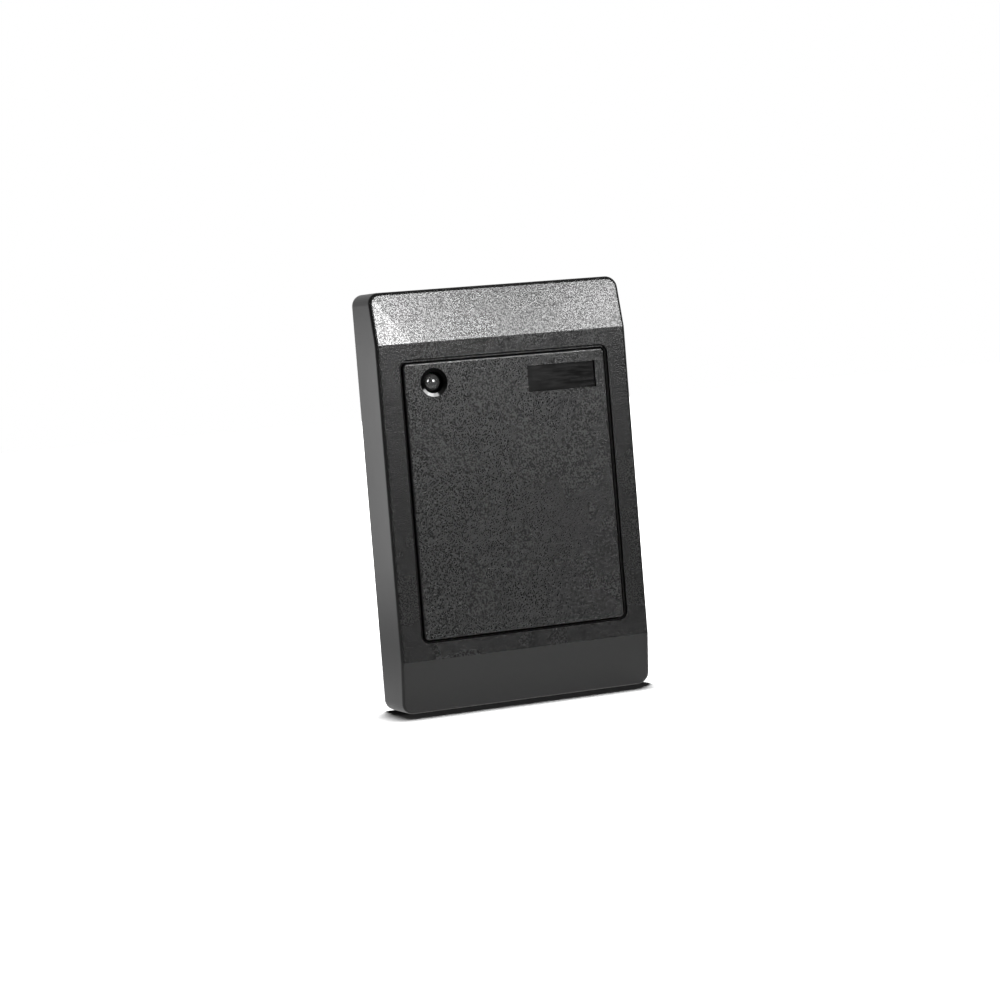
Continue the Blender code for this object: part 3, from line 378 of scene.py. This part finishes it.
def plastic_zones(surface, x, y, z):
    """Where the case is grained, where its smooth lower slope is, and where the groove gets painted
    shade.
    """
    facing = surface.parts(surface.node("ShaderNodeTexCoord", "Normal"))
    front = surface.ramp(facing["Y"], *FRONT_FACING, start=1.0, end=0.0)
    upper = surface.ramp(z, BOTTOM_BEND_Z - BEND_BLUR, BOTTOM_BEND_Z + BEND_BLUR)
    groove = surface.inside((x, -GROOVE_X, GROOVE_X), (z, GROOVE_BOTTOM_Z, GROOVE_TOP_Z),
                            (y, GROOVE_Y, 0.0))
    ledge = surface.inside((z, *LEDGE_SPAN_Z), (y, GROOVE_Y, LEDGE_Y))
    # In the groove, except on a thin strip of its top ledge, the reflection is painted weak, as shade
    painted_groove_shade = surface.times(groove, surface.rest(ledge))
    grained = surface.times(front, upper, surface.rest(painted_groove_shade))
    lower = surface.times(front, surface.rest(upper))
    return grained, lower, painted_groove_shade


def black_plastic(name, colour):
    """Moulded black ABS: spark-grained front surfaces, and smoother sides, back and lower slope."""
    surface = Surface(name)
    grained, lower, painted_groove_shade = plastic_zones(surface, *surface.place())
    grain = surface.noise(GRAIN_SIZE, detail=0.0)
    satin = surface.bump(surface.noise(SATIN_SIZE, detail=0.0), SATIN_DEPTH)
    drift = surface.maths("SUBTRACT", surface.noise(DRIFT_SIZE), NOISE_MIDDLE)
    rough = surface.ramp(grained, 0.0, 1.0, SMOOTH_ROUGHNESS, GRAIN_ROUGHNESS)
    pits = surface.spread(grain, 1.0 - PIT_SHADE, 1.0 + PIT_SHADE)
    tone = surface.mix(grained, 1.0, pits, "FLOAT")
    # The lower slope's stronger sheen is painted, to make it lighter
    sheen = surface.times(tone, surface.ramp(lower, 0.0, 1.0, FRONT_SHEEN, LOWER_SLOPE_PAINTED_SHEEN))
    # In the groove the sheen is painted low, as shade
    surface.paint(colour=surface.scaled(colour, tone),
                  sheen=surface.mix(painted_groove_shade, sheen, GROOVE_SHADE_SHEEN, "FLOAT"),
                  roughness=surface.maths("ADD", rough, surface.times(drift, DRIFT_ROUGHNESS)),
                  normal=surface.bump(grain, GRAIN_DEPTH, grained, satin))
    return surface


def distance_from(graph, x, z, axis):
    """How far a point lies from an axis that runs along Y through (x, z) = axis."""
    squares = []
    for value, centre in ((x, axis[0]), (z, axis[1])):
        offset = graph.maths("SUBTRACT", value, centre)
        squares.append(graph.times(offset, offset))
    return graph.maths("SQRT", graph.maths("ADD", *squares))


def panel_plastic():
    """The case's plastic, with the mouth and bore round the status light polished.

    There the colour is painted near-black as shade, and the reflection is painted strong only
    low down, as a glint.
    """
    surface = black_plastic("panel_plastic", PANEL_COLOUR)
    x, _, z = surface.place()
    polished = surface.maths("LESS_THAN", distance_from(surface, x, z, (LED_X, LED_Z)),
                             LED_MOUTH_RADIUS)
    # Painted glint and shade: the mouth reflects strongly below and hardly at all above
    sheen = surface.ramp(z, *MOUTH_PAINTED_GLINT_SPAN_Z, MOUTH_SHEEN, MOUTH_PAINTED_DULL_ABOVE)
    surface.cover(polished, colour=MOUTH_PAINTED_SHADE, sheen=sheen, roughness=MOUTH_ROUGHNESS,
                  normal=surface.node("ShaderNodeNewGeometry", "Normal"))
    return surface


def nameplate_film():
    """Thin glossy film: faint level streaks, and a cloudy painted reflection, lighter towards its left
    end.
    """
    surface = Surface("nameplate_film")
    low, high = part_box("nameplate")
    x = surface.place()[0]
    stretched = surface.node("ShaderNodeMapping", inputs={"Vector": surface.where(),
                                                           "Scale": STREAK_SQUEEZE})
    streaks = surface.node("ShaderNodeTexNoise", "Fac", {"Vector": stretched,
                                                          "Scale": 1.0 / STREAK_SIZE, "Detail": 3.0})
    cloud = surface.noise(size=5.0 * MM)
    reflection_fade = surface.ramp(x, low[0], low[0] + FILM_REFLECTION_FADE * (high[0] - low[0]), start=1.3, end=0.5)
    wavy = surface.bump(streaks, depth=0.001 * MM)
    # The colour carries a painted reflection, cloudy and lighter towards the left
    surface.paint(colour=surface.mix(surface.times(reflection_fade, cloud), FILM_BLACK, FILM_PAINTED_REFLECTION),
                  roughness=surface.spread(streaks, start=0.12, end=0.2),
                  sheen=surface.spread(streaks, start=0.1, end=0.36),
                  normal=surface.bump(cloud, depth=0.01 * MM, normal=wavy))
    return surface


def lamp_epoxy():
    """Grey diffused epoxy: darker in the middle, where the lamp's cup lies, paler to the rim."""
    surface = Surface("lamp_epoxy", roughness=LAMP_ROUGHNESS, sheen=LAMP_SHEEN)
    x, _, z = surface.place()
    away = distance_from(surface, x, z, (LED_X, LED_Z))
    tone = surface.mix(surface.ramp(away, *LAMP_CORE_SPAN), LAMP_CORE, LAMP_RIM)
    haze = surface.spread(surface.noise(size=0.9 * MM), start=0.92, end=1.08)
    surface.paint(colour=surface.scaled(tone, haze),
                  normal=surface.bump(surface.noise(size=1.2 * MM, detail=1.0), depth=0.01 * MM))
    return surface


def rubber():
    """Dull black rubber with dusty patches."""
    surface = Surface("black_rubber")
    dust = surface.noise(size=2.5 * MM, detail=4.0, roughness=0.6)
    dusty = surface.ramp(dust, low=0.45, high=0.8)
    surface.paint(colour=surface.mix(dusty, RUBBER_BLACK, RUBBER_DUSTY),
                  roughness=surface.spread(dust, start=0.62, end=0.85),
                  normal=surface.bump(surface.noise(size=0.2 * MM), depth=0.01 * MM))
    return surface


def plated_metal(name, bright, dull, rough_low, rough_high, patch):
    """Plated or bare metal, slightly uneven, with duller and rougher patches."""
    surface = Surface(name, metallic=1.0)
    patches = surface.noise(patch, detail=3.0, roughness=0.6)
    surface.paint(colour=surface.mix(surface.ramp(patches, low=0.35, high=0.7), bright, dull),
                  roughness=surface.ramp(patches, 0.3, 0.75, rough_low, rough_high),
                  normal=surface.bump(surface.noise(size=0.12 * MM), depth=0.003 * MM))
    return surface


def moulded(name, colour, roughness, mottling, lump):
    """Plain moulded plastic, ceramic or film with slight mottling."""
    surface = Surface(name)
    cloud = surface.noise(lump, detail=3.0, roughness=0.55)
    shade = surface.spread(cloud, 1.0 - mottling, 1.0 + mottling)
    surface.paint(colour=surface.scaled(colour, shade),
                  roughness=surface.spread(cloud, roughness - PLASTIC_UNEVENNESS,
                                           roughness + PLASTIC_UNEVENNESS),
                  normal=surface.bump(surface.noise(size=0.15 * MM, detail=1.0), depth=0.004 * MM))
    return surface


def tin(surface, share):
    """Turn a share of a surface into tinned metal."""
    surface.cover(share, colour=SOLDER_COLOUR, roughness=SOLDER_ROUGHNESS, metallic=1.0)


def epoxy_with_metal(name, node, body_half, colour=EPOXY_BLACK, roughness=EPOXY_ROUGHNESS):
    """A part on the board whose body lies within body_half of its middle; past that it's metal.

    So are the pins and solder that pass behind the board's front."""
    surface = moulded(name, colour, roughness, EPOXY_MOTTLING, EPOXY_LUMP)
    x, y, _ = surface.place()
    low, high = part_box(node)
    offset = surface.maths("ABSOLUTE", surface.maths("SUBTRACT", x, (low[0] + high[0]) / 2))
    tin(surface, surface.maths("MAXIMUM", surface.maths("GREATER_THAN", offset, body_half),
                               surface.maths("GREATER_THAN", y, BARE_METAL_Y)))
    return surface


def header_nylon():
    """The header's nylon, and the tinned pins in its well and behind the board."""
    surface = moulded("header_nylon", *HEADER_NYLON)
    x, y, z = surface.place()
    low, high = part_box("cable_header")
    middle_x, middle_z = ((low[axis] + high[axis]) / 2 for axis in (0, 2))
    across = surface.maths("ABSOLUTE", surface.maths("SUBTRACT", z, middle_z))
    along = surface.maths("PINGPONG", surface.maths("SUBTRACT", x, middle_x), HEADER_PITCH / 2)
    pins = surface.times(surface.inside((y, low[1] + HEADER_WELL[0], BOARD_FRONT_Y - HEADER_WELL[1])),
                         surface.maths("LESS_THAN", across, HEADER_PIN_HALF),
                         surface.maths("GREATER_THAN", along, HEADER_PITCH / 2 - HEADER_PIN_HALF))
    tin(surface, surface.maths("MAXIMUM", pins, surface.maths("GREATER_THAN", y, BARE_METAL_Y)))
    return surface


def board_green():
    """Green solder mask with copper tracks under it, worn in spots."""
    surface = Surface("board_green")
    upright = surface.node("ShaderNodeMapping", inputs={"Vector": surface.where(),
                                                         "Rotation": (math.radians(90), 0.0, 0.0)})
    tracks = surface.node("ShaderNodeTexBrick", "Fac", {
        "Vector": upright, "Scale": 1.0, "Brick Width": TRACK_LENGTH, "Row Height": TRACK_PITCH,
        "Mortar Size": TRACK_WIDTH, "Mortar Smooth": 0.1})
    weave = surface.noise(size=0.5 * MM)
    mask = surface.mix(tracks, MASK_DARK, MASK_TRACK)
    surface.paint(colour=surface.mix(surface.ramp(weave, low=0.4, high=0.8), mask, MASK_WORN),
                  roughness=surface.spread(weave, start=0.24, end=0.38),
                  normal=surface.bump(tracks, depth=0.03 * MM))
    return surface


def enamelled_copper():
    """Fine enamelled wire, wound side by side: rings follow the coil round its window.

    The colour is painted darker between the turns and lighter on their crowns, as shade and
    highlight, with some random tone.
    """
    surface = Surface("enamelled_copper", roughness=COIL_ROUGHNESS, metallic=1.0)
    x, y, z = surface.place()
    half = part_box("antenna_coil")[1]
    past = [surface.maths("SUBTRACT", surface.maths("ABSOLUTE", value), limit)
            for value, limit in ((x, half[0]), (z, half[2]))]
    ring = surface.maths("MAXIMUM", *past)
    turns = [surface.maths("SINE", surface.times(value, 2 * math.pi / WIRE_PITCH))
             for value in (ring, y)]
    wires = surface.maths("ADD", *(surface.times(turn, WIRE_SHARE) for turn in turns))
    # Painted shade and highlight: the colour follows the wires' ridges, plus a random tone
    tone = surface.ramp(surface.maths("ADD", wires, surface.noise(size=3.0 * MM)), low=0.1, high=0.9)
    surface.paint(colour=surface.mix(tone, COIL_SHADED, COIL_LIT),
                  normal=surface.bump(wires, depth=0.05 * MM))
    return surface


def capacitor_can():
    """An aluminium can on a black base."""
    surface = plated_metal("can_aluminium", *ALUMINIUM)
    base = surface.maths("GREATER_THAN", surface.place()[1], CAN_BASE_Y)
    surface.cover(base, colour=CAN_BASE_COLOUR, roughness=CAN_BASE_ROUGHNESS, metallic=0.0)
    return surface


def set_world():
    """A white backdrop, and a dim studio that is brighter behind the reader."""
    world = bpy.data.worlds.new("studio")
    bpy.context.scene.world = world
    world.use_nodes = True
    graph = Graph(world.node_tree)
    direction = graph.parts(graph.node("ShaderNodeTexCoord", "Generated"))
    glow = graph.ramp(direction["Y"], *WORLD_TURN, WORLD_FRONT, WORLD_BEHIND)
    seen = graph.node("ShaderNodeLightPath", "Is Camera Ray")
    back = graph.nodes["Background"]
    graph.put(WHITE, back.inputs["Color"])
    graph.put(graph.maths("MAXIMUM", glow, seen), back.inputs["Strength"])


def floor_white():
    """A dark floor that its own light makes white, and that glows further out.

    Only the camera sees it so. What the reader gets from the floor is set apart."""
    surface = Surface("floor_white", roughness=FLOOR_ROUGHNESS, sheen=0.0, glow_colour=WHITE)
    away = surface.node("ShaderNodeVectorMath", "Value", {0: surface.where()}, operation="LENGTH")
    glow = surface.ramp(away, *FLOOR_GLOW_SPAN, FLOOR_GLOW_NEAR, FLOOR_GLOW_FAR)
    unseen_glow = surface.ramp(away, *UNSEEN_GLOW_SPAN, UNSEEN_GLOW_NEAR, UNSEEN_GLOW_FAR)
    seen = surface.node("ShaderNodeLightPath", "Is Camera Ray")
    surface.paint(colour=surface.mix(seen, FLOOR_COLOUR_UNSEEN, FLOOR_COLOUR),
                  glow=surface.mix(seen, unseen_glow, glow, "FLOAT"))
    return surface


def add_floor():
    """The floor at the reader's lower side."""
    mesh = bpy.data.meshes.new("floor")
    corners = [(x * FLOOR_HALF, y * FLOOR_HALF, -HALF_HEIGHT)
               for x, y in ((-1, -1), (1, -1), (1, 1), (-1, 1))]
    mesh.from_pydata(corners, [], [(0, 1, 2, 3)])
    mesh.materials.append(floor_white().material)
    floor = bpy.data.objects.new("floor", mesh)
    bpy.context.scene.collection.objects.link(floor)
    return floor


def wear(surface, *names):
    """Give CAD nodes a material."""
    for name in names:
        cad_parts[name].material_slots[0].material = surface.material


def numbered(name, count):
    """The names of a repeated piece: name_1, name_2 and so on."""
    return [f"{name}_{number}" for number in range(1, count + 1)]


def smoothing_group(name, limit):
    """Geometry nodes that join the mesh's split corners and shade it smooth up to an angle."""
    tree = bpy.data.node_groups.new(name, "GeometryNodeTree")
    for in_out in ("INPUT", "OUTPUT"):
        tree.interface.new_socket("Geometry", in_out=in_out, socket_type="NodeSocketGeometry")
    graph = Graph(tree)
    shape = graph.node("NodeGroupInput")
    shape = graph.node("GeometryNodeMergeByDistance", inputs={"Geometry": shape, "Distance": WELD_GAP})
    shape = graph.node("GeometryNodeRemoveAttribute", inputs={"Geometry": shape,
                                                               "Name": "custom_normal"})
    shape = graph.node("GeometryNodeSetShadeSmooth", inputs={"Geometry": shape, "Shade Smooth": True},
                       domain="FACE")
    angle = graph.node("GeometryNodeInputMeshEdgeAngle", "Unsigned Angle")
    sharp = graph.maths("GREATER_THAN", angle, limit)
    shape = graph.node("GeometryNodeSetShadeSmooth",
                       inputs={"Geometry": shape, "Selection": sharp, "Shade Smooth": False},
                       domain="EDGE")
    graph.put(shape, graph.nodes.new("NodeGroupOutput").inputs[0])
    return tree


def round_off(nodes):
    """Shade the CAD nodes smooth across their small facets. The shell stays as it is, crisp."""
    fine = smoothing_group("smooth_to_small_angle", PANEL_SMOOTH_ANGLE)
    broad = smoothing_group("smooth_to_angle", SMOOTH_ANGLE)
    for name, piece in nodes.items():
        if name == "front_shell":
            continue
        piece.modifiers.new("smooth", "NODES").node_group = fine if name == "front_panel" else broad
        piece.modifiers.new("even_normals", "WEIGHTED_NORMAL").keep_sharp = True


# Board parts with metal ends: half the body's width, then its colour and roughness if not the
# usual ones. The buzzer has no metal ends.
NO_ENDS = 1000.0 * MM
BOARD_PARTS = {
    "microcontroller": (3.76 * MM,),
    "reader_chip": (1.96 * MM,),
    "voltage_regulator": (1.76 * MM,),
    **dict.fromkeys(numbered("driver_transistor", 3), (0.71 * MM,)),
    "buzzer": (NO_ENDS, (0.012, 0.012, 0.012), 0.3),
    "protection_diode": (1.75 * MM, (0.015, 0.015, 0.016)),
    **dict.fromkeys(numbered("chip_resistor", 6), (0.5 * MM, (0.016, 0.017, 0.02))),
    **dict.fromkeys(numbered("chip_capacitor", 4), (0.6 * MM, (0.42, 0.30, 0.18))),
}

bpy.context.scene.view_settings.view_transform = "Standard"
wear(black_plastic("shell_plastic", SHELL_COLOUR), "front_shell", "rear_cover")
wear(panel_plastic(), "front_panel")
wear(nameplate_film(), "nameplate")
wear(lamp_epoxy(), "status_light_lens")
wear(rubber(), "rear_seal", "cable_grommet")
wear(plated_metal("zinc_steel", *ZINC_STEEL), *numbered("case_screw", 4), *numbered("board_screw", 4))
wear(plated_metal("tinned_metal", *TINNED_METAL), *numbered("status_light_leg", 3), "crystal")
wear(plated_metal("copper_lead", *COPPER), *numbered("antenna_lead", 2))
wear(moulded("spacer_nylon", *SPACER_NYLON), "status_light_spacer")
wear(moulded("film_red", *FILM_RED), "tuning_capacitor")
wear(board_green(), "circuit_board")
wear(enamelled_copper(), "antenna_coil")
wear(capacitor_can(), *numbered("electrolytic_capacitor", 2))
wear(header_nylon(), "cable_header")
for name, look in BOARD_PARTS.items():
    wear(epoxy_with_metal(f"{name}_look", name, *look), name)
round_off(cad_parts)
add_camera()
for name, settings in LIGHTS.items():
    add_soft_light(name, *settings)
set_world()
add_floor_light(add_floor())
